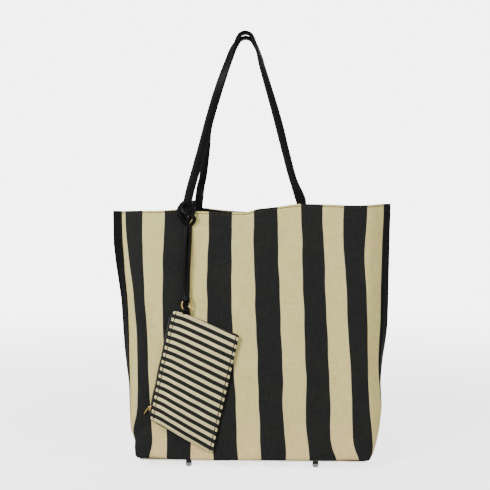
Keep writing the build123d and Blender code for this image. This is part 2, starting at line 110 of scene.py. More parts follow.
def round_corners(x, y, half, radius):
    """Pulls the points of a flat rectangle in so that its corners are round."""
    dx = np.maximum(0, np.abs(x) - (half[0] - radius[0])) / radius[0]
    dy = np.maximum(0, np.abs(y) - (half[1] - radius[1])) / radius[1]
    both = (dx > 0) & (dy > 0)
    k = np.where(both, np.maximum(dx, dy) / np.maximum(np.hypot(dx, dy), 1e-9), 1)
    x = np.where(both, np.sign(x) * (half[0] - radius[0] + radius[0] * dx * k), x)
    y = np.where(both, np.sign(y) * (half[1] - radius[1] + radius[1] * dy * k), y)
    return x, y


def make_mesh(name, points, faces, uvs=None):
    """Mesh object; points in bag coordinates, moved into the row frame."""
    points = np.asarray(points, float).reshape(-1, 3).copy()
    points[:, 1] += MID_Y
    mesh = bpy.data.meshes.new(name)
    mesh.from_pydata([tuple(p) for p in points], [], [tuple(f) for f in faces])
    if uvs is not None:
        layer = mesh.uv_layers.new(name="flat")
        order = np.zeros(len(mesh.loops), np.int32)
        mesh.loops.foreach_get("vertex_index", order)
        flat = np.asarray(uvs, float).reshape(-1, 2)[order]
        layer.data.foreach_set("uv", flat.astype(np.float32).ravel())
    mesh.polygons.foreach_set("use_smooth", [True] * len(mesh.polygons))
    mesh.update()
    obj = bpy.data.objects.new(name, mesh)
    bpy.context.scene.collection.objects.link(obj)
    return obj


def finish_piece(obj, material, body=None, blend=None, replaces=()):
    obj.data.materials.clear()
    obj.data.materials.append(material)
    if blend:
        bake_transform(obj)
    else:
        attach(obj, body)
    if replaces:
        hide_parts(*replaces)
    return obj


def slab(name, outer, inner, uv, closed=False):
    """Closed cloth: two matching point grids (rows, columns, 3) joined round their edges."""
    rows, cols = outer.shape[:2]
    points = np.concatenate([outer.reshape(-1, 3), inner.reshape(-1, 3)])
    uvs = np.concatenate([uv.reshape(-1, 2), uv.reshape(-1, 2)])
    n = rows * cols
    faces = []
    last = cols if closed else cols - 1
    for r in range(rows - 1):
        for c in range(last):
            d = (c + 1) % cols
            a, b, e, f = r * cols + c, r * cols + d, (r + 1) * cols + d, (r + 1) * cols + c
            faces.append((a, b, e, f))
            faces.append((n + f, n + e, n + b, n + a))
    for c in range(last):
        d = (c + 1) % cols
        top = (rows - 1) * cols
        faces.append((d, c, n + c, n + d))
        faces.append((top + c, top + d, n + top + d, n + top + c))
    if not closed:
        for r in range(rows - 1):
            a, b = r * cols, (r + 1) * cols
            faces.append((a, b, n + b, n + a))
            a, b = a + cols - 1, b + cols - 1
            faces.append((b, a, n + a, n + b))
    return make_mesh(name, points, faces, uvs)


def tube_faces(rings, sides, first=0, flip=False):
    """Faces of a closed tube whose points are laid ring by ring; flip turns them the other way out."""
    faces = []
    for i in range(rings - 1):
        for k in range(sides):
            a, b = (first + i * sides + j % sides for j in (k, k + 1))
            faces.append((a, b, b + sides, a + sides) if flip else (a, a + sides, b + sides, b))
    near = tuple(first + k for k in range(sides))
    far = tuple(k + (rings - 1) * sides for k in near)
    return faces + ([near[::-1], far] if flip else [near, far[::-1]])


def join(name, objs):
    """One mesh object out of several."""
    bpy.ops.object.select_all(action="DESELECT")
    for o in objs:
        o.select_set(True)
    bpy.context.view_layer.objects.active = objs[0]
    bpy.ops.object.join()
    objs[0].name = name
    objs[0].data.name = name
    return objs[0]


# ---------- materials
class Shader:
    """Builds a material's nodes with short calls."""

    def __init__(self, name):
        self.material = bpy.data.materials.new(name)
        self.material.use_nodes = True
        self.nodes = self.material.node_tree.nodes
        self.links = self.material.node_tree.links
        self.base = self.nodes["Principled BSDF"]

    def put(self, socket, value):
        if isinstance(value, bpy.types.NodeSocket):
            self.links.new(value, socket)
        elif isinstance(value, tuple) and len(value) == 3 and len(socket.default_value) == 4:
            socket.default_value = (*value, 1)
        else:
            socket.default_value = value

    def fill(self, node, values):
        for name, value in values.items():
            self.put(node.inputs[name.replace("_", " ")], value)
        return node

    def node(self, kind, **values):
        return self.fill(self.nodes.new("ShaderNode" + kind), values)

    def math(self, op, a, b=0.0, c=0.0):
        node = self.node("Math")
        node.operation = op
        for socket, value in zip(node.inputs, (a, b, c)):
            self.put(socket, value)
        return node.outputs[0]

    def times(self, a, b):
        return self.math("MULTIPLY", a, b)

    def scale(self, value, factor, add):
        return self.math("MULTIPLY_ADD", value, factor, add)

    def less(self, a, b):
        return self.math("SUBTRACT", a, b)

    def flat(self):
        """The cloth's own place in metres: as a point, its u and its v."""
        node = self.node("UVMap")
        node.uv_map = "flat"
        split = self.node("SeparateXYZ", Vector=node.outputs[0])
        return node.outputs[0], split.outputs[0], split.outputs[1]

    def object_point(self):
        return self.node("TexCoord").outputs["Object"]

    def noise(self, point, scale, detail, roughness=0.5):
        return self.node("TexNoise", Vector=point, Scale=scale, Detail=detail, Roughness=roughness).outputs[0]

    def cells(self, point, scale):
        return self.node("TexVoronoi", Vector=point, Scale=scale).outputs[0]

    def stretch(self, point, across, up):
        """The flat place scaled unevenly, for yarns that run one way."""
        node = self.node("VectorMath")
        node.operation = "MULTIPLY"
        self.put(node.inputs[0], point)
        self.put(node.inputs[1], (across, up, 1.0))
        return node.outputs[0]

    def ramp(self, value, low, high):
        node = self.node("MapRange")
        node.interpolation_type = "SMOOTHSTEP"
        for socket, v in zip(node.inputs, (value, low, high, 0.0, 1.0)):
            self.put(socket, v)
        return node.outputs[0]

    def mix(self, factor, a, b, kind="MIX"):
        node = self.node("Mix")
        node.data_type = "RGBA"
        node.blend_type = kind
        self.put(node.inputs[0], factor)
        self.put(node.inputs[6], a)
        self.put(node.inputs[7], b)
        return node.outputs[2]

    def bump(self, height, strength, distance, below=None):
        node = self.node("Bump", Strength=strength, Distance=distance, Height=height)
        if below is not None:
            self.put(node.inputs["Normal"], below)
        return node.outputs[0]

    def set(self, **values):
        self.fill(self.base, values)
        return self.material

    def weave(self, u, v, pitch):
        """Plain weave of that thread pitch, from 0 to 1."""
        a = self.math("SINE", self.times(u, math.pi / pitch))
        b = self.math("SINE", self.times(v, math.pi / pitch))
        return self.scale(self.times(a, b), 0.5, 0.5)


CREAM = (0.745, 0.655, 0.255)
CREAM_FOOT = (0.88, 0.655, 0.285)
PAINTED_SEAM_SHADE = (0.035, 0.032, 0.026)  # painted shade of the crease a row of stitches pulls into the cloth
SHADED_EDGE = (0.46, 0.44, 0.30)  # cream where it meets a black stripe
CREAM_WARM = (0.81, 0.635, 0.27)
CREAM_COOL = (0.70, 0.69, 0.62)
BLACK = (0.0054, 0.0054, 0.0054)
BLACK_GREEN = (0.0074, 0.0080, 0.0058)


def canvas_material(name, across, stripes, wander, pitch=0.00055, cream=CREAM, seams=()):
    """Yarn dyed canvas: black bands across u or v, and painted shade of a stitched crease at each seam's u."""
    period, black, start = stripes
    s = Shader(name)
    point, u, v = s.flat()
    along = u if across else v
    drift = s.scale(s.noise(point, 14.0, 2.0), 2 * wander, -wander)
    fray = s.scale(s.noise(point, 2600.0, 1.0), 0.0005, -0.00025)
    place = s.math("ADD", s.math("ADD", along, drift), fray)
    phase = s.times(s.math("FRACT", s.math("DIVIDE", s.less(place, start), period)), period)
    soft = 0.00022  # half the width over which a stripe's edge changes colour
    band = s.times(s.ramp(phase, 0.0, 2 * soft), s.less(1.0, s.ramp(phase, black - soft, black + soft)))
    blotch = s.ramp(s.noise(point, 17.0, 3.0, 0.6), 0.42, 0.72)
    dirt = s.ramp(s.noise(point, 55.0, 3.0, 0.6), 0.35, 0.8)
    pale = s.mix(s.times(blotch, 0.7), cream, CREAM_WARM)
    if across:
        foot = s.less(1.0, s.ramp(v, 0.010, 0.085))
        pale = s.mix(foot, pale, CREAM_FOOT)
    pale = s.mix(s.times(dirt, 0.22), pale, CREAM_COOL, "MULTIPLY")
    dark = s.mix(blotch, BLACK, BLACK_GREEN)
    thread = s.weave(u, v, pitch)
    slub = s.noise(point, 900.0, 2.0)
    warp = s.ramp(s.noise(s.stretch(point, 560.0, 45.0), 1.0, 2.0, 0.6), 0.33, 0.67)
    weft = s.ramp(s.noise(s.stretch(point, 50.0, 620.0), 1.0, 2.0, 0.6), 0.33, 0.67)
    yarn = s.scale(s.math("ADD", warp, weft), 0.5, 0.0)
    pale = s.mix(0.16, pale, s.mix(thread, (0.72, 0.70, 0.66), (1.0, 1.0, 1.0)), "MULTIPLY")
    pale = s.mix(s.times(yarn, 0.50), pale, (0.60, 0.585, 0.50), "MULTIPLY")
    after = s.less(1.0, s.ramp(phase, black, black + 0.0010))
    before = s.ramp(phase, period - 0.0010, period)
    pale = s.mix(s.times(s.math("MAXIMUM", after, before), 0.75), pale, SHADED_EDGE)
    dark = s.mix(s.times(thread, 0.30), dark, (0.018, 0.018, 0.017))
    dark = s.mix(s.times(yarn, 0.42), dark, (0.024, 0.024, 0.023))
    colour = s.mix(band, pale, dark)
    # painted shade: the colour darkens along each stitched seam, standing in for the crease's shadow
    for seam in seams:
        away = s.math("ABSOLUTE", s.less(u, seam))
        near = s.less(1.0, s.ramp(away, 0.0003, 0.0010))
        colour = s.mix(s.times(near, 0.8), colour, PAINTED_SEAM_SHADE)
    rough = s.scale(slub, 0.12, 0.82)
    normal = s.bump(thread, 0.35, 0.00016)
    normal = s.bump(slub, 0.12, 0.0002, normal)
    normal = s.bump(yarn, 0.20, 0.0003, normal)
    normal = s.bump(s.noise(point, 120.0, 2.0, 0.55), 0.10, 0.0012, normal)
    return s.set(Base_Color=colour, Roughness=rough, Normal=normal, Sheen_Weight=0.03, Sheen_Roughness=0.6,
                 Specular_IOR_Level=0.15)


def leather_material(name, colour, worn, rough):
    s = Shader(name)
    point = s.object_point()
    cells = s.cells(point, 520.0)
    fine = s.noise(point, 1900.0, 2.0)
    wear = s.ramp(s.noise(point, 70.0, 4.0, 0.65), 0.52, 0.8)
    shade = s.mix(s.times(wear, 0.5), colour, worn)
    roughness = s.scale(wear, 0.14, rough)
    normal = s.bump(cells, 0.30, 0.00025)
    normal = s.bump(fine, 0.10, 0.0001, normal)
    return s.set(Base_Color=shade, Roughness=roughness, Normal=normal, Specular_IOR_Level=0.11)


def metal_material(name, colour, rough):
    s = Shader(name)
    point = s.object_point()
    scuff = s.ramp(s.noise(point, 900.0, 3.0, 0.6), 0.45, 0.85)
    roughness = s.scale(scuff, 0.18, rough)
    shade = s.mix(s.times(scuff, 0.35), colour, tuple(0.6 * c for c in colour))
    normal = s.bump(s.noise(point, 2500.0, 2.0), 0.05, 0.00005)
    return s.set(Base_Color=shade, Roughness=roughness, Metallic=1.0, Normal=normal)


def plain_material(name, colour, rough, scale, strength, distance):
    """Dull material with a speckle: rubber, board, thread or plain cotton."""
    s = Shader(name)
    point = s.object_point()
    speckle = s.noise(point, scale, 3.0, 0.6)
    shade = s.mix(s.times(speckle, 0.25), colour, tuple(0.55 * c for c in colour))
    return s.set(Base_Color=shade, Roughness=rough, Normal=s.bump(speckle, strength, distance),
                 Specular_IOR_Level=0.3)


def woven_material(name, colour):
    s = Shader(name)
    point, u, v = s.flat()
    thread = s.weave(u, v, 0.0004)
    tone = s.ramp(s.noise(point, 30.0, 3.0), 0.3, 0.8)
    shade = s.mix(s.times(tone, 0.3), colour, tuple(0.7 * c for c in colour))
    shade = s.mix(s.times(thread, 0.25), shade, tuple(min(1.0, 1.7 * c) for c in colour))
    return s.set(Base_Color=shade, Roughness=0.85, Normal=s.bump(thread, 0.3, 0.00012),
                 Sheen_Weight=0.1, Specular_IOR_Level=0.2)


bag_canvas = canvas_material("bag_canvas", True, STRIPES, 0.0004)
base_canvas_material = canvas_material("base_canvas", True, STRIPES, 0.0003)
pouch_canvas = canvas_material("pouch_canvas", False, (0.0106, 0.0059, 0.0043), 0.0001, 0.0005, (0.80, 0.705, 0.35),
                               (POUCH_SEAM * POUCH_WIDTH, (1 - POUCH_SEAM) * POUCH_WIDTH))
lining_fabric = woven_material("lining_fabric", (0.52, 0.47, 0.35))
tape_fabric = woven_material("tape_fabric", (0.013, 0.013, 0.013))
leather = leather_material("leather", (0.0022, 0.0022, 0.0022), (0.010, 0.010, 0.0095), 0.46)
strap_leather = leather_material("strap_leather", (0.0012, 0.0012, 0.0012), (0.006, 0.006, 0.006), 0.45)
black_thread = plain_material("black_thread", (0.010, 0.010, 0.010), 0.7, 3000.0, 0.4, 0.0001)
brown_thread = plain_material("brown_thread", (0.06, 0.04, 0.022), 0.75, 3000.0, 0.4, 0.0001)
nickel = metal_material("nickel_plate", (0.60, 0.59, 0.58), 0.13)
gold = metal_material("gold_plate", (0.72, 0.49, 0.17), 0.24)
coil_black = plain_material("coil_black", (0.022, 0.022, 0.022), 0.38, 1500.0, 0.2, 0.0001)
rubber = plain_material("rubber_black", (0.018, 0.018, 0.018), 0.65, 900.0, 0.3, 0.0002)
board = plain_material("pressed_board", (0.30, 0.26, 0.20), 0.9, 700.0, 0.3, 0.0002)

# ---------- the bag's shell as one surface
# Flat position round the shell: 0 at the left seam, 0.44 at the right seam, the back panel up to 0.88.
# How far each side seam stands out from the base's end, by share of the height, in mm.
LEFT_FLARE = [(0, -5), (.06, -3.3), (.10, 1), (.14, 5.5), (.22, 9.8), (.34, 18.5), (.42, 24), (.52, 27.5),
    (.64, 29.6), (.76, 36.3), (.87, 40.6), (1, 41.8)]
RIGHT_FLARE = [(0, 5.5), (.05, 6), (.1, 7), (.2, 16), (.27, 20.5), (.34, 21.5), (.40, 23.5), (.46, 27.5), (.52, 30.5),
    (.64, 33), (.76, 35), (.87, 36.4), (1, 38)]
# How much each half gusset swells between its fold and the seam.
LEFT_SWELL = [(0, 0), (.06, 5), (.12, 9), (.17, 7), (.22, 6), (.28, 4), (.34, 3), (.4, 1.5), (.5, 0), (1, 0)]
RIGHT_SWELL = [(0, 0), (.06, 9), (.13, 12.6), (.2, 12.6), (.27, 6.5), (.36, 3), (.48, 0), (1, 0)]
# The soft bottom edge stands off the floor by more at the corners.
FOOT_LIFT = [(0, 4.5), (.03, 5), (.05, 4.6), (.07, 4.2), (.09, 3.4), (.12, 2.2), (.16, 1.4), (.20, 1.9), (.22, 2.2),
    (.30, 2.5), (.345, 4), (.365, 2.8), (.40, 1.6), (.44, 2), (.60, 1.8), (.72, 1.2), (.80, 2.6), (.84, 4),
    (.88, 4.5)]
# How far the cloth lies round the shell from its drawn place, in mm, at heights up the panel. The bag has twisted
# on its base, so the lower stripes sit further to the right. One row for each place across the front.
PULL_AT = (0.0, 0.016, 0.0252, 0.059, 0.091, 0.125, 0.157, 0.223, 0.257, 0.288, 0.322, 0.354, 0.388, 0.424, 0.440)
PULL_HEIGHTS = (0.0, 0.08, 0.2, 0.32, 0.5, 0.68, 0.8, 0.92, 1.0)
PULL = (
    (0, 2, 4, 6, 6, 4, 3, 2, 2),
    (0, 3, 6, 8, 8, 5, 4, 2.5, 2.5),
    (8, 16, 30, 29.5, 26, 16, 6, 1, 0),
    (12, 19, 15, 12, 9, 3.5, 0, -1.5, -1),
    (6.5, 6.5, 5, 2, 0, -1.5, -1.5, 0.5, 1),
    (7.2, 6.8, 5, 3, 2.6, 2.6, 2.6, 2.8, 0.6),
    (8, 7, 5, 2, -2, -2.4, -2, 0, 0),
    (11, 9.6, 7.7, 6.5, 3.8, 1.5, 0, 0, 0),
    (12.7, 11.5, 8.1, 8.1, 5.9, 3.3, 2, 1, 0),
    (14.4, 11.6, 8.5, 9.6, 7.4, 5.5, 4.5, 3.4, 2.5),
    (21, 10, 9.9, 9.1, 6.5, 3.9, 2.5, 0, 0),
    (21, 10, 9.1, 8.8, 4.5, 2.4, -1, -2.6, -1),
    (16, 5, 1, 0, 1.5, -1.5, -4.5, -.5, 1.5),
    (0, 0, 0, 0, 0, 1, 3, 4, 4),
    (0, 0, 0, 0, 0, 1, 2, 3, 3),
)
# How far the rim stands above its drawn height, in mm, by place round the shell.
RIM_LIFT = [(0, -1), (.02, -2), (.09, -2.5), (.2, -5.5), (.213, -5), (.229, 0), (.246, 1.4), (.264, 3.8), (.281, 6.6),
    (.298, 6.8), (.32, 6.2), (.34, 5.8), (.36, 4.6), (.38, 4.6), (.40, 6.2), (.42, 8.4), (.44, 9), (.48, 6), (.52, 3),
    (.56, 2), (.65, -2), (.69, 0), (.71, 2), (.735, 5), (.755, 5), (.775, 3), (.80, 1), (.86, -1), (.88, -1)]

# Soft folds, in mm: flat place (u, v), length and width of the fold, lean from plumb in degrees, height.
FOLDS = (
    (141, 290, 60, 7, 7, -1.8), (150, 262, 60, 8, 6, 1.2), (75, 205, 85, 16, -8, -1.8), (50, 150, 60, 12, 12, 0.2),
    (95, 300, 60, 18, 5, 1.2), (35, 40, 30, 9, 40, -2.6), (50, 24, 24, 8, -30, 2.2), (80, 35, 40, 11, 55, -1.4),
    (250, 220, 110, 20, 4, -1.2), (290, 120, 90, 18, -10, 1.4), (330, 190, 120, 16, -5, -1.6),
    (362, 110, 80, 13, 4, 1.8), (375, 250, 90, 12, 6, -1.3), (398, 150, 90, 11, -3, -1.5),
    (372, 30, 32, 9, -35, -2.4), (352, 18, 28, 9, 30, 1.6), (310, 330, 50, 20, -20, 1.2),
    (200, 345, 50, 24, 25, -1.2), (150, 60, 60, 20, 70, -0.4), (240, 45, 80, 18, 82, -1),
    (480, 200, 120, 16, 6, -1.6), (520, 80, 80, 14, -14, 1.8), (600, 240, 110, 22, 5, 1.6),
    (680, 130, 110, 20, -6, -1.6), (760, 260, 90, 18, 8, 1.5), (805, 90, 80, 14, 12, -2), (835, 200, 90, 12, -5, 1.5),
)


def relief(u, v):
    """Height of the folds outward from the shell's plain shape, in metres."""
    total = np.zeros_like(u)
    for place, height, length, width, lean, amount in FOLDS:
        for wrap in (-LOOP, 0, LOOP):
            du = u - place * MM + wrap
            dv = v - height * MM
            c, s = math.cos(math.radians(lean)), math.sin(math.radians(lean))
            across = du * c - dv * s
            down = du * s + dv * c
            total = total + amount * MM * np.exp(-(across / width / MM) ** 2 - (down / length / MM) ** 2)
    turn = 2 * np.pi * u / LOOP
    total = total + 0.0007 * np.sin(5 * turn + 9 * v) * np.sin(21 * v + 1)
    total = total + 0.0004 * np.sin(11 * turn - 17 * v + 2)
    total = total + 0.00025 * np.sin(23 * turn + 40 * v) * np.sin(31 * v + 7 * turn)
    fade = step(v, 0.0, 0.012) * (1 - 0.75 * step(v, RUN - 0.060, RUN - 0.020))
    return total * fade


def slip(u, v):
    """How far the cloth lies round the shell from its drawn place, in metres."""
    share = np.clip(v / RUN, 0, 1)
    u = np.mod(u, LOOP)
    total = np.zeros_like(u)
    rows = [ease(share, list(zip(PULL_HEIGHTS, row))) * MM for row in PULL]
    for i in range(len(PULL_AT) - 1):
        here = (u >= PULL_AT[i]) & (u <= PULL_AT[i + 1])
        k = (u - PULL_AT[i]) / (PULL_AT[i + 1] - PULL_AT[i])
        total = np.where(here, rows[i] + (rows[i + 1] - rows[i]) * k, total)
    behind = np.clip((u - PANEL) / PANEL, 0, 1)
    rear = 0.009 * np.sin(np.pi * behind) * (1 - share) ** 1.2
    rear = rear + rows[-1] * (1 - step(behind, 0.0, 0.2)) + rows[0] * step(behind, 0.8, 1.0)
    total = np.where(u > PANEL, rear, total)
    wave = 0.0004 * np.sin(61 * v + 47 * u) + 0.0003 * np.sin(131 * v - 33 * u + 1.3)
    calm = np.sin(np.pi * np.mod(u, PANEL) / PANEL)
    return total + wave * step(RUN - v, 0.0, 0.04) * calm


def plain_plan(t, share):
    """Plan position round the shell without folds: t is the length round it, share the height."""
    left = ease(share, LEFT_FLARE) * MM
    right = ease(share, RIGHT_FLARE) * MM
    fold_left = np.sqrt(BASE_Y ** 2 - left ** 2)
    fold_right = np.sqrt(BASE_Y ** 2 - right ** 2)
    t = np.mod(t, LOOP)
    gusset = BASE_Y
    marks = [0, gusset, PANEL - gusset, PANEL, PANEL + gusset, LOOP - gusset, LOOP]
    xs = [-BASE_X - left, -BASE_X, BASE_X, BASE_X + right, BASE_X, -BASE_X, -BASE_X - left]
    zero = np.zeros_like(left)
    ys = [zero, -fold_left, -fold_right, zero, fold_right, fold_left, zero]
    x = np.zeros_like(t)
    y = np.zeros_like(t)
    for i in range(6):
        here = (t >= marks[i]) & (t <= marks[i + 1])
        k = (t - marks[i]) / (marks[i + 1] - marks[i])
        x = np.where(here, xs[i] + (xs[i + 1] - xs[i]) * k, x)
        y = np.where(here, ys[i] + (ys[i + 1] - ys[i]) * k, y)
        if i in (0, 2, 3, 5):
            swell = ease(share, LEFT_SWELL if i in (0, 5) else RIGHT_SWELL) * MM
            x = np.where(here, x + (-1 if i in (0, 5) else 1) * swell * np.sin(np.pi * k), x)
    # the walls stand straight at the rim between their straps, so the mouth is lens shaped
    middle = (np.abs(np.mod(t, PANEL) - PANEL / 2) < PANEL / 2 - gusset)
    across = np.cos(np.pi * (np.mod(t, PANEL) - PANEL / 2) / (PANEL - 2 * gusset))
    wanted = BASE_Y + (MOUTH_Y - BASE_Y) * share
    bow = np.where(middle, np.sqrt(np.clip(across, 0, 1)), 0) * np.maximum(0, wanted - np.abs(y)) * 0.9
    return x, y + np.where(t < PANEL, -bow, bow)


def plan(t, share):
    """Plan position with the four corners rounded, more softly towards the rim."""
    seam = np.minimum(np.abs(np.mod(t + PANEL / 2, PANEL) - PANEL / 2), 1)
    width = (0.006 + 0.020 * share) * (0.12 + 0.88 * step(seam, 0.004, 0.03))
    x = y = 0
    for k, w in zip(np.linspace(-1, 1, 7), (1, 2, 3, 4, 3, 2, 1)):
        px, py = plain_plan(t + k * width, share)
        x = x + w * px / 16
        y = y + w * py / 16
    return x, y


def bare_shell(u, v):
    share = np.clip(v / RUN, 0, 1)
    t = u + slip(u, v)
    x, y = plan(t, share)
    ax, ay = plan(t + 0.001, share)
    bx, by = plan(t - 0.001, share)
    size = np.hypot(ay - by, bx - ax) + 1e-12
    nx, ny = (ay - by) / size, (bx - ax) / size
    turned = np.clip(v / EDGE_TURN, 0, math.pi / 2)
    inset = EDGE_TURN * (1 - np.sin(turned))
    rise = EDGE_TURN * (1 - np.cos(turned)) + np.maximum(0, v - EDGE_TURN * math.pi / 2)
    full = EDGE_TURN + RUN - EDGE_TURN * math.pi / 2
    lift = ease(np.mod(u, LOOP), RIM_LIFT) * MM
    z = BASE_Z + rise * (RUN + lift * step(share, 0.25, 1.0)) / full
    z = z + ease(np.mod(u, LOOP), FOOT_LIFT) * MM * (1 - step(v, 0.0, 0.06))
    out = relief(u, v) - inset
    return np.stack([x + nx * out, y + ny * out, z], axis=-1)


def shell(u, v, out):
    """Point of the bag's outer surface at flat (u, v), moved outward by out."""
    e = 0.0006
    du = bare_shell(u + e, v) - bare_shell(u - e, v)
    dv = bare_shell(u, np.minimum(v + e, RUN)) - bare_shell(u, np.maximum(v - e, 0))
    return bare_shell(u, v) + unit(np.cross(du, dv)) * np.asarray(out)[..., None]


def grid(us, vs):
    v, u = np.meshgrid(vs, us, indexing="ij")
    return u, v


def shell_slab(name, start, spacing, vs, outside, thickness):
    """Layer of one panel. outside is how far its outer face is from the canvas's face."""
    u, v = grid(spread(start, start + PANEL, spacing), vs)
    return slab(name, shell(u, v, outside), shell(u, v, outside - thickness), np.stack([u - start, v], axis=-1))


def spread(a, b, spacing):
    return np.linspace(a, b, max(2, int(round((b - a) / spacing)) + 1))


# The rim's outer millimetres are a folded hem, so the canvas swells a little between the fold and its stitches.
STITCH_DOWN = 0.0033
heights = np.concatenate([
    np.array([0.0, 0.0015, 0.003, 0.0045, 0.006]), spread(0.008, RUN - 0.0075, 0.0025),
    RUN - np.array([0.0055, 0.0045, 0.0038, 0.0033, 0.0028, 0.0020, 0.0012, 0.0005, 0.0]),
])


def hem_swell(v):
    down = RUN - v
    roll = 0.0006 * np.sin(np.pi * np.clip(down / STITCH_DOWN, 0, 1))
    pinch = -0.0007 * np.exp(-((down - STITCH_DOWN) / 0.0008) ** 2)
    edge = -0.0007 * np.exp(-(down / 0.0006) ** 2)
    return roll + pinch + edge


def blend_line(wall):
    """Two bodies and two points for where a panel would stop following its wall and follow the side seam; finish_piece
    only checks that one is given, then bakes the piece in place.
    """
    side = -1 if wall == "front" else 1
    return (f"{wall}_wall", "bag", (0, side * 0.030 + MID_Y, 0), (0, MID_Y, 0))


cloths = {}
swell = hem_swell(heights)[:, None]
for wall, start in WALLS:
    cloths[wall] = shell_slab(f"{wall}_cloth", start, 0.0025, heights, swell, CANVAS + 1.4 * swell)
    finish_piece(cloths[wall], bag_canvas, blend=blend_line(wall),
                 replaces=(f"{wall}_canvas", f"{wall}_gusset_left", f"{wall}_gusset_right"))

# Lining, and the leather facing inside the hem.
LINING = 0.0008
lining_rows = np.concatenate([[0.0065], spread(0.010, RUN - HEM + 0.004, 0.005)])
facing_rows = np.concatenate([spread(RUN - HEM, RUN - 0.002, 0.003), [RUN - 0.0012]])
sheets = []  # cloth pieces: object, flat size, what they lie on
for wall, start in WALLS:
    lining = shell_slab(f"{wall}_lining_cloth", start, 0.0045, lining_rows, -CANVAS - 0.0003, LINING)
    stands_for = [f"{wall}_lining"] + (["gusset_lining_left", "gusset_lining_right"] if wall == "front" else [])
    finish_piece(lining, lining_fabric, blend=blend_line(wall), replaces=stands_for)
    sheets.append((lining, (PANEL, float(lining_rows[-1] - lining_rows[0])), [f"{wall}_cloth"]))
    facing = shell_slab(f"{wall}_hem_band", start, 0.003, facing_rows, -CANVAS - 0.0002, LEATHER)
    finish_piece(facing, leather, blend=blend_line(wall), replaces=[f"{wall}_hem_facing"])


# ---------- stitching
def stitches(name, points, normals, pitch=0.0032, length=0.0024, radius=0.00028, sink=0.0001):
    """Run of raised thread stitches along a dense line of points."""
    points = np.asarray(points, float)
    normals = np.asarray(normals, float)
    travel = travelled(points)
    verts, faces = [], []
    sides = 6
    # along the stitch, lift and thickness, as shares of its length and radius
    profile = ((-0.5, -0.6, 0.35), (-0.38, 0.25, 0.9), (0.0, 0.55, 1.0), (0.38, 0.25, 0.9), (0.5, -0.6, 0.35))

    def at(table, distance):
        return np.array([np.interp(distance, travel, table[:, k]) for k in range(3)])

    for i in range(int(travel[-1] / pitch)):
        middle = (i + 0.5) * pitch + random.uniform(-0.08, 0.08) * pitch
        ahead = unit(at(points, min(middle + 0.0008, travel[-1])) - at(points, max(middle - 0.0008, 0)))
        up = at(normals, middle)
        up = unit(up - ahead * (up @ ahead))
        side = np.cross(ahead, up)
        first = len(verts)
        for along, lift, fat in profile:
            centre = at(points, np.clip(middle + along * length, 0, travel[-1])) + up * (lift * radius - sink)
            for k in range(sides):
                angle = 2 * math.pi * k / sides
                verts.append(centre + radius * fat * (math.cos(angle) * side + math.sin(angle) * up))
        faces += tube_faces(len(profile), sides, first, flip=True)
    return make_mesh(name, verts, faces)


def shell_line(us, vs, out):
    """Line on the shell and which way is out along it."""
    line = shell(us, vs, out)
    return line, shell(us, vs, out + 0.001) - line


for wall, start in WALLS:
    us = spread(start + TRIM, start + PANEL - TRIM, 0.002)
    line, up = shell_line(us, np.full_like(us, RUN - STITCH_DOWN), -0.0004)
    thread = stitches(f"{wall}_hem_stitches", line, up, 0.0034, 0.0027, 0.00042)
    finish_piece(thread, brown_thread, blend=blend_line(wall))

# ---------- leather trim over the side seams
for side, seam in (("left", 0.0), ("right", PANEL)):
    us = seam + np.concatenate([[-TRIM, -TRIM + 0.0006], spread(-TRIM + 0.002, TRIM - 0.002, 0.002),
                                [TRIM - 0.0006, TRIM]])
    rows = np.concatenate([spread(0.0, RUN - 0.003, 0.003), [RUN - 0.0012, RUN - 0.0004, RUN]])
    u, v = grid(us, rows)
    away = np.abs(u - seam)
    rounding = 0.0006 * step(away, TRIM - 0.0012, TRIM) + 0.0004 * step(v, RUN - 0.001, RUN)
    ridge = 0.0009 * np.exp(-(away / 0.0022) ** 2)
    groove = -0.00035 * np.exp(-((away - TRIM + TRIM_STITCH) / 0.0007) ** 2)
    outer = shell(u, v, 0.0002 + LEATHER - rounding + ridge + groove)
    inner = shell(u, v, 0.0001)
    trim = slab(f"side_leather_{side}", outer, inner, np.stack([u - seam, v], axis=-1))
    finish_piece(trim, leather, body="bag", replaces=[f"side_trim_{side}"])
    runs = []
    for place in (-TRIM + TRIM_STITCH, TRIM - TRIM_STITCH):
        vs = spread(0.004, RUN - 0.003, 0.002)
        line, up = shell_line(np.full_like(vs, seam + place), vs, 0.0002 + LEATHER - 0.0003)
        runs.append(stitches(f"trim_run_{side}_{place}", line, up))
    thread = join(f"side_stitches_{side}", runs)
    finish_piece(thread, black_thread, body="bag")

# ---------- base
def base_panel(half_x, half_y, low, high):
    """Base cloth with rounded corners, gridded so that its edge lies close under the turned walls."""
    u, w = grid(spread(-1, 1, 0.03), spread(-1, 1, 0.09))
    x, y = round_corners(u * half_x, w * half_y, (half_x, half_y), (0.004, 0.004))
    sag = 0.0003 * np.sin(19 * x) * np.sin(60 * y)
    brim = np.maximum(step(np.abs(x), half_x - 0.007, half_x), step(np.abs(y), half_y - 0.007, half_y))
    round_shell = np.where(y < 0, x + PANEL / 2, 1.5 * PANEL - x)
    sag = sag + brim * ease(np.clip(round_shell, 0, LOOP), FOOT_LIFT) * MM * 0.9
    upper = np.stack([x, y, high + np.maximum(sag, 0)], axis=-1)
    lower = np.stack([x, y, low + sag], axis=-1)
    stripe_shift = -0.0155  # so that the stripes run on from the foot of the front
    return slab("base_cloth", upper, lower, np.stack([x + PANEL / 2 + stripe_shift, y], axis=-1))


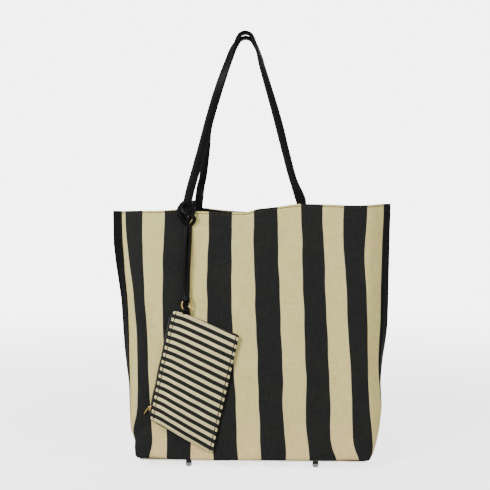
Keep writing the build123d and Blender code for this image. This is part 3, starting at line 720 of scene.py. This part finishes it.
BASE_TURN = 0.0045  # the walls turn under the base by this much
base_cloth = base_panel(BASE_X - BASE_TURN, BASE_Y - BASE_TURN, BASE_Z + 0.0001, BASE_Z + CANVAS)
finish_piece(base_cloth, base_canvas_material, body="bag", replaces=["base_canvas"])
sheets.append((base_cloth, (2 * (BASE_X - BASE_TURN), 2 * (BASE_Y - BASE_TURN)), ["base_board"]))
corners = [(x * (BASE_X - 0.007), y * (BASE_Y - 0.007), BASE_Z + 0.0002)
           for x, y in ((-1, -1), (1, -1), (1, 1), (-1, 1), (-1, -1))]
dense = []
for a, b in zip(corners, corners[1:]):
    count = int(math.dist(a, b) / 0.002)
    dense.extend([tuple(a[k] + (b[k] - a[k]) * i / count for k in range(3)) for i in range(count)])
base_thread = stitches("base_stitches", dense, [(0, 0, -1)] * len(dense))
finish_piece(base_thread, black_thread, body="bag")


# ---------- straps
def resample(points, spacing):
    """Smooth dense line through a few points (Catmull-Rom), evenly spaced. Columns after z ride along."""
    p = np.asarray(points, float)
    p = np.vstack([2 * p[0] - p[1], p, 2 * p[-1] - p[-2]])
    out = []
    for i in range(1, len(p) - 2):
        for t in np.linspace(0, 1, 24, endpoint=False):
            a, b, c, d = p[i - 1], p[i], p[i + 1], p[i + 2]
            out.append(0.5 * (2 * b + (c - a) * t + (2 * a - 5 * b + 4 * c - d) * t * t
                              + (3 * b - a - 3 * c + d) * t ** 3))
    out.append(p[-2])
    out = np.array(out)
    travel = travelled(out[:, :3])
    at = np.linspace(0, travel[-1], max(3, int(travel[-1] / spacing) + 1))
    return np.stack([np.interp(at, travel, out[:, k]) for k in range(out.shape[1])], axis=-1)


def rounded_section(width, thick, corner, count=5):
    """Outline of a flat strap's section, counter clockwise, as (across, up)."""
    outline = []
    for cx, cy, start in ((1, 1, 0), (-1, 1, 90), (-1, -1, 180), (1, -1, 270)):
        for k in range(count):
            angle = math.radians(start + 90 * k / (count - 1))
            outline.append((cx * (width / 2 - corner) + corner * math.cos(angle),
                            cy * (thick / 2 - corner) + corner * math.sin(angle)))
    return outline


def sweep(name, path, facing, section, scale=None):
    """Strap along a path; facing is the direction its flat face looks at each point."""
    path = np.asarray(path, float)
    tangent = unit(np.gradient(path, axis=0))
    travel = travelled(path)
    verts, uvs = [], []
    for i in range(len(path)):
        up = np.asarray(facing[i], float)
        up = unit(up - tangent[i] * (up @ tangent[i]))
        side = np.cross(tangent[i], up)
        k = 1.0 if scale is None else scale[i]
        for a, b in section:
            verts.append(path[i] + side * a * k + up * b * k)
            uvs.append((a, travel[i]))
    return make_mesh(name, verts, tube_faces(len(path), len(section)), uvs)


STRAP_WIDTH = 0.013
STRAP = 0.004
ARCH_X = -0.0105  # where both handles meet at the top
ARCH_RADIUS = 0.013
ARCH_Y = 0.0078
ROOT_Y = 0.0297
ROOT_LINE = ((0, 0.339, 0.0304), (0.4, 0.355, 0.0300), (0.8, 0.372, 0.0295))  # share of the way up, z, y
LEAN_TOP_Z = 0.598
# How the legs rise to the top: x in mm and the share of a quarter turn, at these heights.
LEG_HEIGHTS = (410, 430, 470, 500, 530, 560, 590, 606, 619)
FRONT_LEGS = ((-89, -83.5, -73, -65.5, -57.5, -48.5, -38.5, -33.5, -28.8),
              (63, 56.5, 46.5, 39, 31, 22.5, 14, 10.2, 6.4))
BACK_LEGS = ((-81, -76.5, -71.5, -69, -61, -51.5, -41, -34.5, -29),
             (66.5, 60, 49.5, 42.3, 34, 25, 15.8, 11.6, 7))
FRONT_TURNS = ((0, 0, 0, 0, 0, 0.1, 0.38, 0.55, 0.72), (0.3, 0.42, 0.4, 0.42, 0.48, 0.56, 0.66, 0.74, 0.84))
BACK_TURNS = ((0.35, 0.45, 0.4, 0.3, 0.2, 0.25, 0.45, 0.6, 0.75), (0.3, 0.42, 0.42, 0.45, 0.5, 0.6, 0.7, 0.78, 0.88))


def strap_line(roots, bend_z, peak_z, side, legs, turns):
    """Centre line and face direction of a handle from the foot of its left root to its right one."""
    ends = []
    for (low_x, x), xs, shares in zip(roots, legs, turns):
        knots = []
        for share, z, y in (*ROOT_LINE, (1, bend_z - 0.004, ROOT_Y)):
            knots.append((low_x + (x - low_x) * share, side * y, z, 0.0))
        for leg_x, height, turn in zip(xs, LEG_HEIGHTS, shares):
            z = height * MM
            lean = min(1, (z - bend_z) / (LEAN_TOP_Z - bend_z))
            knots.append((leg_x * MM, side * (ROOT_Y + (ARCH_Y - ROOT_Y) * lean), z, turn))
        ends.append(knots)
    arch = []
    for degrees in (165, 135, 112, 90, 68, 45, 15):
        a = math.radians(degrees)
        arch.append((ARCH_X + ARCH_RADIUS * math.cos(a), side * ARCH_Y, peak_z - ARCH_RADIUS * (1 - math.sin(a)), 1.0))
    line = resample(ends[0] + arch + ends[1][::-1], 0.003)
    crown = peak_z - ARCH_RADIUS * 0.74
    facing = []
    top = np.argmax(line[:, 2])
    for i, (x, y, z, turn) in enumerate(line):
        if z > crown:
            facing.append(unit(np.array([x - ARCH_X, 0, z - peak_z + ARCH_RADIUS])))
            continue
        outward = unit(np.array([-1.0 if i < top else 1.0, 0, 0.3]))
        angle = float(np.clip(turn, 0, 1)) * math.pi / 2
        facing.append(np.array([0, side, 0]) * math.cos(angle) + outward * math.sin(angle))
    return line[:, :3], np.array(facing)


def strap(wall, side, roots, bend_z, peak_z, legs, turns):
    line, facing = strap_line(roots, bend_z, peak_z, side, legs, turns)
    obj = sweep(f"{wall}_strap", line, facing, rounded_section(STRAP_WIDTH, STRAP, 0.0016))
    sewn = slice(16, -16)  # leaves out the ends, which are inside the hem
    across = unit(np.cross(unit(np.gradient(line, axis=0)), facing))
    runs = []
    for face in (-1, 1):
        for edge in (-1, 1):
            place = line + across * edge * (STRAP_WIDTH / 2 - 0.0021) + facing * face * STRAP / 2
            runs.append(stitches(f"{wall}_strap_run{face}{edge}", place[sewn], face * facing[sewn], 0.0034, 0.0026,
                                 0.00022, 0.00012))
    thread = join(f"{wall}_strap_stitches", runs)
    bend = (f"{wall}_wall", f"{wall}_handle", (0, 0, bend_z - 0.007), (0, 0, bend_z + 0.008))
    finish_piece(obj, strap_leather, blend=bend, replaces=(f"{wall}_handle", f"{wall}_strap_roots"))
    finish_piece(thread, black_thread, blend=bend)


strap("front", -1, ((-0.097, -0.094), (0.074, 0.072)), bend_z=0.392, peak_z=0.6395, legs=FRONT_LEGS, turns=FRONT_TURNS)
strap("back", 1, ((-0.086, -0.085), (0.079, 0.077)), bend_z=0.381, peak_z=0.6365, legs=BACK_LEGS, turns=BACK_TURNS)

# ---------- the pouch's lace: hitch, knot and two strands
LACE_WIDTH = 0.0062
LACE = 0.0020
RING = Vector((-0.094, -0.046, 0.235))
lace_section = rounded_section(LACE_WIDTH, LACE, 0.0008, 4)


def lace(name, knots):
    """Flat leather lace through knots in mm; the last three numbers say which way its face looks."""
    line = resample(np.array(knots) * MM, 0.0012)
    return sweep(name, line[:, :3], line[:, 3:] / MM, lace_section)


FRONT = (0, -1, 0)
left_strand = (
    (-95.8, -39.6, 350, -.2, -1, 0), (-96.8, -40.6, 330, -.1, -1, 0), (-97.2, -42.6, 300, *FRONT),
    (-97.0, -44.6, 270, *FRONT), (-96.0, -46.2, 251, *FRONT), (-95.2, -48.4, 244, *FRONT),
    (-95.0, -49.3, 240.5, *FRONT),
)
right_strand = (
    (-89.4, -39.2, 349, .9, -.6, 0), (-89.4, -40.4, 330, .95, -.45, 0), (-90.2, -42.4, 305, .95, -.4, 0),
    (-91.6, -44.4, 275, .9, -.5, 0), (-92.8, -46.2, 251, .5, -.9, 0), (-93.4, -47.6, 244, .1, -1, 0),
    (-93.6, -48.3, 240.5, *FRONT),
)
outer_loop = (
    (-92, -25.0, 388.4, 0, 1, .2), (-99, -26.4, 386.6, -.3, -.4, .9), (-104.6, -31, 381.2, -.6, -.6, .5),
    (-107.4, -36.6, 374.4, -.65, -.75, .1), (-106.2, -40, 367.6, -.6, -.8, 0), (-103.2, -41.2, 362.4, -.6, -.8, 0),
    (-99.4, -41.2, 356.6, -.4, -.9, 0),
)
inner_loop = (
    (-100, -34.4, 384, -.3, -.8, .5), (-103, -37.8, 377.6, -.5, -.9, .3), (-100.6, -41.6, 372.4, -.3, -.9, .4),
    (-95.2, -43.8, 368.8, -.1, -.9, .5), (-89.8, -44.2, 366.4, .1, -.9, .4), (-85.6, -43.2, 363.4, .4, -.8, .3),
    (-83.4, -41.4, 359.6, .6, -.8, 0), (-84.4, -39.8, 356, .7, -.7, -.2), (-87.2, -39, 352.4, .8, -.7, -.2),
)
right_loop = (
    (-94, -25.2, 384.4, 0, 1, 0), (-89.2, -26.2, 384.6, .2, -.6, .8), (-86.4, -30.8, 380.2, .4, -.8, .3),
    (-84.8, -36.8, 374.2, .5, -.85, 0), (-85.2, -40.8, 368.2, .4, -.9, 0), (-89.6, -41.4, 361.4, .3, -.95, 0),
    (-93.4, -41, 355.4, .1, -1, 0), (-95, -40.4, 351, 0, -1, 0),
)
under_loop = (
    (-86.2, -29.4, 387, *FRONT), (-85.9, -31.5, 381, *FRONT), (-87, -34, 375.5, *FRONT), (-90.4, -35, 371.8, *FRONT),
    (-95, -35, 371.8, *FRONT), (-98.2, -34, 376, *FRONT), (-98.8, -31.5, 381, *FRONT), (-98.2, -29.4, 387, *FRONT),
)
pouch_lace = join("pouch_lace", [lace("lace_left", outer_loop + left_strand), lace("lace_cross", right_loop),
                                 lace("lace_under", under_loop), lace("lace_right", inner_loop + right_strand)])
finish_piece(pouch_lace, leather,
             blend=("front_wall", "pouch_strap", (0, 0, 0.386), (0, 0, 0.364)),
             replaces=("hitch_loop", "pouch_strap"))


def eye(name, body, centre, width, thick):
    """Leather turned round the ring."""
    hole = 0.0022
    angles = [2 * math.pi * i / 20 for i in range(20)]
    rims = []
    for radius in (hole + thick, hole):
        rims.append(np.array([[(x, radius * math.cos(a), radius * math.sin(a)) for a in angles]
                              for x in np.linspace(-width / 2, width / 2, 5)]) + np.array(centre))
    obj = slab(name, *rims, np.zeros(rims[0].shape[:2] + (2,)), closed=True)
    finish_piece(obj, leather, body=body)


eye("strand_eye", "pouch_strap", (RING.x - 0.0003, RING.y, RING.z + 0.0074), 0.0096, 0.0017)

# ---------- pouch
LEAN = math.atan2(BASE_Y - MOUTH_Y, RUN)
UP = Vector((0, math.sin(LEAN), math.cos(LEAN)))
OUT = Vector((0, -math.cos(LEAN), math.sin(LEAN)))
CORNERS = np.array([(-18.6, -6.4), (76.2, -42.9), (37.2, -211.0), (-51.5, -164.0)]) * MM  # TL, TR, BR, BL


def hung(p, q, out):
    """Pouch plane (p right, q up from the ring's centre, out towards the viewer) to bag coordinates."""
    p, q, out = (np.asarray(c, float)[..., None] for c in (p, q, out))
    return np.array(RING) + p * np.array((1.0, 0, 0)) + q * np.array(UP) + out * np.array(OUT)


def pouch_flat(a, b):
    """Pouch outline: a from 0 left to 1 right, b from 0 top to 1 bottom, corners rounded."""
    x, y = round_corners(2 * a - 1, 2 * b - 1, (1, 1), (0.075, 0.045))
    a, b = (x + 1) / 2, (y + 1) / 2
    top = CORNERS[0] + (CORNERS[1] - CORNERS[0]) * a[..., None]
    low = CORNERS[3] + (CORNERS[2] - CORNERS[3]) * a[..., None]
    # the side with the zip bows a little and the bottom edge sags
    bow = np.stack([-0.0015 * np.sin(np.pi * b) * (1 - a), 0.0014 * np.sin(np.pi * a) * (0.4 - b)], axis=-1)
    return top + (low - top) * b[..., None] + bow


def pouch_height(a, b, side):
    x, y = 2 * a - 1, 2 * b - 1
    crown = (1 - np.abs(x) ** 2.6) ** 0.9 * (1 - np.abs(y) ** 3.5) ** 0.8
    tall, soft = (0.0042, 0.0007) if side > 0 else (0.0009, 0.0003)
    height = 0.0011 + tall * crown
    height = height + soft * np.sin(9 * x + 4 * y) * np.sin(6 * y - 2 * x) * crown
    height = height + 0.0004 * np.sin(22 * y + 6 * x) * crown
    for edge in (1 + x, 1 - x):
        height = height - 0.0008 * np.exp(-((edge - 2 * POUCH_SEAM) / 0.016) ** 2)
    return height


def pouch_face(a, b, side, under=0.0):
    """Point of the pouch's face on that side, or under it."""
    p = pouch_flat(a, b)
    return hung(p[..., 0], p[..., 1], side * (pouch_height(a, b, side) - under))


for node, side, inside in (("pouch_front", 1, []), ("pouch_back", -1, ["pouch_lining"])):
    a, b = grid(spread(0, 1, 1 / 56), spread(0, 1, 1 / 90))
    dip = 0.0016 * np.exp(-(a / 0.10) ** 2) + 0.0040 * a ** 1.3
    flat = np.stack([a * POUCH_WIDTH, b * POUCH_LENGTH - dip], axis=-1)
    panel = slab(f"{node}_cloth", pouch_face(a, b, side), pouch_face(a, b, side, 0.0010), flat)
    finish_piece(panel, pouch_canvas, body="pouch", replaces=[node] + inside)
    sheets.append((panel, (POUCH_WIDTH, POUCH_LENGTH), ["zip_tape_cloth"]))

runs = []
down = spread(0.02, 0.985, 1 / 120)
for place in (POUCH_SEAM, 1 - POUCH_SEAM):
    line = pouch_face(np.full_like(down, place), down, 1)
    runs.append(stitches(f"pouch_run_{place}", line, [tuple(OUT)] * len(down), 0.0036, 0.0031, 0.00078, -0.0003))
across = spread(0.03, 0.97, 1 / 80)
for place in (0.018, 0.985):
    line = pouch_face(across, np.full_like(across, place), 1)
    runs.append(stitches(f"pouch_run_{place}", line, [tuple(OUT)] * len(across), 0.0036, 0.0024, 0.00036))
pouch_thread = join("pouch_stitches", runs)
finish_piece(pouch_thread, black_thread, body="pouch")


def beside(down, out, height):
    """Point beside the pouch's left edge: down from its top, outward in the plane, and towards the viewer."""
    edge = CORNERS[3] - CORNERS[0]
    length = np.hypot(*edge)
    along = edge / length
    outward = np.array((along[1], -along[0]))
    p = CORNERS[0] + np.asarray(down)[..., None] * along + np.asarray(out)[..., None] * outward
    return hung(p[..., 0], p[..., 1], height)


# Zip tape along the left edge, with its outer edge folded over the coil.
downs = spread(0.004, 0.155, 0.002)
outs = np.array([-0.005, -0.002, 0.0, 0.0012, 0.0022, 0.0028])
o, d = grid(outs, downs)
wave = 0.0003 * np.sin(d * 160)
fade = step(d, 0.004, 0.018)
tape_out = np.where(o > 0, o * fade, o) + wave * (o > 0)
tape = slab("zip_tape_cloth", beside(d, tape_out, 0.0005), beside(d, tape_out, -0.0005), np.stack([o, d], axis=-1))
finish_piece(tape, tape_fabric, body="pouch", replaces=["zip_tape"])

TOOTH = 0.0014
verts = []
sides = 8
downs = spread(0.007, 0.152, 0.0004)
for down in downs:
    ridge = 0.0009 + 0.00022 * math.sin(2 * math.pi * down / TOOTH)
    out = 0.0030 * float(step(down, 0.004, 0.016)) + 0.0003 + 0.0003 * math.sin(down * 160)
    for k in range(sides):
        angle = 2 * math.pi * k / sides
        verts.append(beside(down, out + 1.25 * ridge * math.cos(angle), ridge * math.sin(angle)))
coil = make_mesh("zip_coil_closed", verts, tube_faces(len(downs), sides))
finish_piece(coil, coil_black, body="pouch", replaces=["zip_teeth"])

# Leather tab: folded round the ring and caught in the pouch's top seam.
rows, cols = 12, 9
across, share = grid(np.linspace(-1, 1, cols), np.linspace(0, 1, rows))
tab_p = -0.0024 * share + (0.0046 + 0.0022 * step(share, 0.05, 0.5)) * across
tab_q = -0.0100 - 0.0092 * share
pinched = step(-tab_q, 0.0105, 0.0145)
lift = 0.0018 - 0.0015 * pinched
leaves = []
for side in (1, -1):
    outer = hung(tab_p, tab_q, side * (lift + 0.0012 - 0.0006 * pinched))
    leaves.append(slab(f"tab_leaf_{side}", outer, hung(tab_p, tab_q, side * lift), np.stack([tab_p, tab_q], axis=-1)))
tab = join("pouch_tab_leather", leaves)
finish_piece(tab, leather, body="pouch", replaces=["pouch_tab"])


def rounded_bar(name, start, end, width, thick):
    """Flat bar with blunt ends, facing the viewer."""
    start, end = np.array(start), np.array(end)
    places = np.linspace(0, 1, 15)
    path = [start + (end - start) * k for k in places]
    ends = [max(0.35, min(1.0, 4.5 * min(k, 1 - k) + 0.35)) for k in places]
    return sweep(name, path, [tuple(OUT)] * len(places), rounded_section(width, thick, 0.35 * thick, 4), ends)


# Slim slider over the coil and a thin pull hung from it, both where the CAD ones are.
slider_at = beside(0.1450, 0.0040, 0.0)
reach = beside(0.1515, 0.0030, 0.0) - beside(0.1415, 0.0030, 0.0)
slider = rounded_bar("zip_slider_body", slider_at - reach * 0.42, slider_at + reach * 0.42, 0.0032, 0.0042)
finish_piece(slider, gold, body="slider", replaces=["zip_slider"])
pull_min, pull_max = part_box("zip_pull")
pull_top = (pull_max.x + 0.0012, pull_min.y - MID_Y + 0.0004, pull_max.z + 0.0016)
pull_end = (pull_min.x + 0.0026, pull_min.y - MID_Y + 0.0010, pull_min.z + 0.0010)
pull = rounded_bar("zip_pull_plate", pull_top, pull_end, 0.0018, 0.0010)
finish_piece(pull, gold, body="pull", replaces=["zip_pull"])
eye("tab_eye", "pouch", hung(0.0, -0.0074, 0.0), 0.0088, 0.0016)

# ---------- CAD parts that are shown as they are
inner_cotton = plain_material("inner_cotton", (0.52, 0.47, 0.35), 0.85, 1500.0, 0.3, 0.0001)
CARRIED = {
    nickel: ("foot_front_left", "foot_front_right", "foot_back_left", "foot_back_right", "foot_backings"),
    rubber: ("foot_collars",), board: ("base_board",), inner_cotton: ("base_lining",), gold: ("pouch_ring",),
}
for material, nodes in CARRIED.items():
    for node in nodes:
        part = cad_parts[node]
        part.data.materials.clear()
        part.data.materials.append(material)

# ---------- what is cloth
sheets += [(cloths[wall], (PANEL, RUN), ["base_board", f"{wall}_strap"]) for wall in ("front", "back")]

# ---------- stage, light and camera
def studio_sweep():
    """White floor that turns up into a round wall, like a photographer's sweep; it shines by painted glow, dimmer near
    the bag and brighter further out. Only the camera sees it.
    """
    wall, turn, top = 4.5, 2.0, 9.0
    profile = [(r, 0.0) for r in (0.001, 0.3, 0.8, 1.6, wall - turn)]
    for k in range(1, 13):
        angle = math.pi / 2 * k / 12
        profile.append((wall - turn + turn * math.sin(angle), turn * (1 - math.cos(angle))))
    profile.append((wall, top))
    around = 64
    angles = [2 * math.pi * k / around for k in range(around)]
    verts = [(r * math.cos(angle), r * math.sin(angle), z) for r, z in profile for angle in angles]
    obj = make_mesh("floor", verts, tube_faces(len(profile), around, flip=True)[:-1])
    s = Shader("white_sweep")
    length = s.node("VectorMath")
    length.operation = "LENGTH"
    s.put(length.inputs[0], s.object_point())
    # painted glow: emission 2.4 in the middle rising to 5.0 from 2.6 m out, so the floor near the bag is greyer
    glow = s.scale(s.ramp(length.outputs["Value"], 0.25, 2.6), 2.6, 2.4)
    obj.data.materials.append(s.set(Base_Color=(0.93, 0.93, 0.93), Roughness=0.9, Specular_IOR_Level=0.0,
                                    Emission_Color=(1.0, 1.0, 1.0), Emission_Strength=glow))
    obj.visible_diffuse = obj.visible_glossy = obj.visible_transmission = obj.visible_shadow = False


studio_sweep()
world = bpy.data.worlds.new("studio")
bpy.context.scene.world = world
world.use_nodes = True
sky = world.node_tree.nodes["Background"]
sky.inputs["Color"].default_value = (1.0, 1.0, 1.0, 1)
sky.inputs["Strength"].default_value = 0.56


def area_light(name, place, target, size, power):
    light = bpy.data.lights.new(name, "AREA")
    light.shape = "SQUARE"
    light.size = size
    light.energy = power
    obj = bpy.data.objects.new(name, light)
    obj.location = place
    obj.rotation_euler = (Vector(target) - Vector(place)).to_track_quat("-Z", "Y").to_euler()
    bpy.context.scene.collection.objects.link(obj)


area_light("key", (-1.2, -1.4, 1.2), (0, 0, 0.25), 0.7, 49)
area_light("fill", (1.7, -1.3, 0.8), (0, 0, 0.25), 1.4, 22)
area_light("rim", (0.4, 1.5, 1.6), (0, 0, 0.3), 1.2, 10)

camera = bpy.data.cameras.new("camera")
camera.lens = 50.7
camera.sensor_width = 36
eye_point = bpy.data.objects.new("camera", camera)
turn = math.radians(1.8)
aim = Vector((-0.0100, MID_Y - 0.040, 0.322))
back = Vector((math.sin(turn), -math.cos(turn), 0))
eye_point.location = aim + back * 1.0
eye_point.rotation_euler = (-back).to_track_quat("-Z", "Y").to_euler()
bpy.context.scene.collection.objects.link(eye_point)
bpy.context.scene.camera = eye_point
